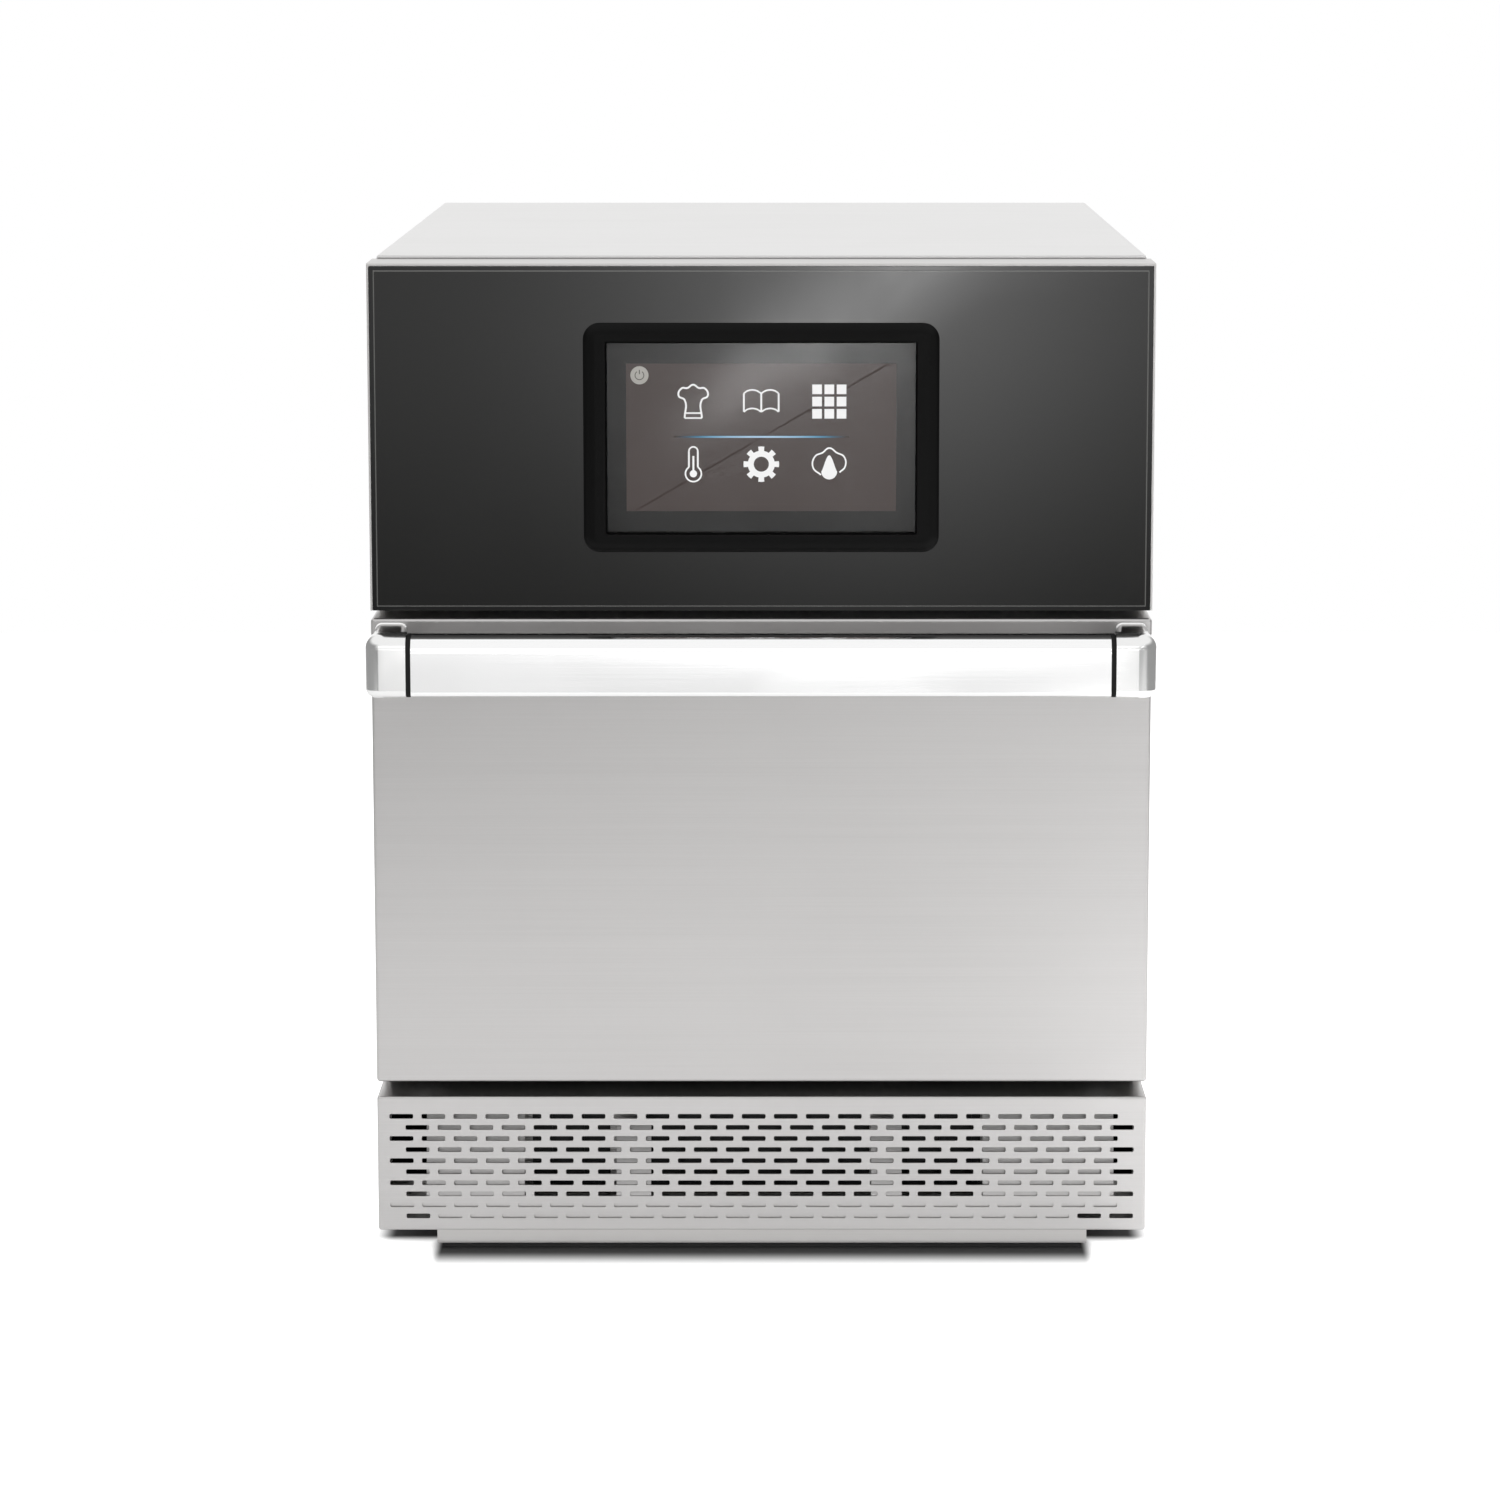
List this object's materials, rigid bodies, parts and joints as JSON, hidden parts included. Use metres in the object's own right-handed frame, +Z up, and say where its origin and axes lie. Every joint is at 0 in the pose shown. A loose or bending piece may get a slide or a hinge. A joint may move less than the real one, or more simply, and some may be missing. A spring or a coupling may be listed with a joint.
{
  "type": "speed oven",
  "caption": "Countertop speed oven with a black glass touch-screen fascia, a drop-down door with a full-width bar handle and a slotted air grille below.",
  "frame": {"origin": "middle of the oven's outline on the surface that it stands on, handle included", "axes": "+Z up, -Y out of the front, +X to the right as seen from the front"},
  "size_m": [0.475, 0.7, 0.616],
  "materials": {
    "stainless": "vertical brushed grain on the door, satin elsewhere",
    "galvanised": "plain zinc-coated sheet",
    "handle_metal": "satin",
    "fascia_glass": "black back-printed glass",
    "bezel_plastic": "fine satin",
    "screen_glass": "clear glass over the screen",
    "display": "lit screen with plain pictograms",
    "rubber": "matt",
    "mineral_wool": "pressed mineral fibre",
    "cook_stone": "fired stone",
    "ceramic": "unglazed",
    "circuit_board": "solder mask",
    "black_plastic": "moulded",
    "iron_core": "varnished laminations",
    "aluminium": "as formed",
    "motor_paint": "black enamel"
  },
  "bodies": {
    "cabinet": {"air_filter": "black_plastic", "base_pan": "galvanised", "cable_gland": "black_plastic", "catalytic_converter": "ceramic", "cavity_insulation": "mineral_wool", "cavity_liner": "stainless", "control_board": "circuit_board", "control_glass": "fascia_glass", "convection_motor": "motor_paint", "cook_plate": "cook_stone", "electronics_shelf": "galvanised", "exhaust_duct": "galvanised", "fascia_tray": "stainless", "front_foot_pad": "rubber", "front_foot_rail": "stainless", "front_frame": "stainless", "heater_coil": "galvanised", "lcd_panel": "display", "left_capacitor": "aluminium", "left_fan_frame": "black_plastic", "left_hinge_bracket": "galvanised", "left_magnetron": "aluminium", "left_rack_rail": "stainless", "left_side_panel": "stainless", "left_transformer": "iron_core", "line_filter": "galvanised", "rear_baffle": "stainless", "rear_bulkhead": "galvanised", "rear_foot_pad": "rubber", "rear_foot_rail": "stainless", "rear_panel": "stainless", "relay_board": "circuit_board", "right_capacitor": "aluminium", "right_fan_frame": "black_plastic", "right_hinge_bracket": "galvanised", "right_magnetron": "aluminium", "right_rack_rail": "stainless", "right_side_panel": "stainless", "right_transformer": "iron_core", "screen_bezel": "bezel_plastic", "stirrer_cover": "ceramic", "stirrer_motor": "motor_paint", "top_cover": "stainless", "touch_glass": "screen_glass", "upper_jet_plate": "stainless", "waveguide": "aluminium"},
    "door": {"door_skin": "stainless", "door_inner_panel": "stainless", "door_insulation": "mineral_wool", "door_seal": "rubber", "handle_bar": "handle_metal", "left_handle_end": "handle_metal", "right_handle_end": "handle_metal", "left_handle_gasket": "rubber", "right_handle_gasket": "rubber"},
    "grille": {"vent_grille": "stainless"},
    "convection_fan": {"convection_fan": "stainless"},
    "left_cooling_rotor": {"left_fan_rotor": "black_plastic"},
    "right_cooling_rotor": {"right_fan_rotor": "black_plastic"},
    "stirrer": {"stirrer": "aluminium"}
  },
  "joints": [
    {"name": "door_hinge", "type": "hinge", "parent": "cabinet", "child": "door", "pos_m": [0, -0.278, 0.1217], "axis": [1, 0, 0], "range_deg": [0, 90]},
    {"name": "grille_pull", "type": "slide", "parent": "cabinet", "child": "grille", "axis": [0, -1, 0], "range_m": [0, 0.08]},
    {"name": "convection_spin", "type": "hinge", "parent": "cabinet", "child": "convection_fan", "pos_m": [0, 0.1493, 0.2575], "axis": [0, 1, 0], "continuous": true},
    {"name": "left_cooling_spin", "type": "hinge", "parent": "cabinet", "child": "left_cooling_rotor", "pos_m": [-0.1, -0.215, 0.0633], "axis": [0, 1, 0], "continuous": true},
    {"name": "right_cooling_spin", "type": "hinge", "parent": "cabinet", "child": "right_cooling_rotor", "pos_m": [0.1, -0.215, 0.0633], "axis": [0, 1, 0], "continuous": true},
    {"name": "stirrer_spin", "type": "hinge", "parent": "cabinet", "child": "stirrer", "pos_m": [0, -0.04, 0.144], "axis": [0, 0, 1], "continuous": true}
  ]
}
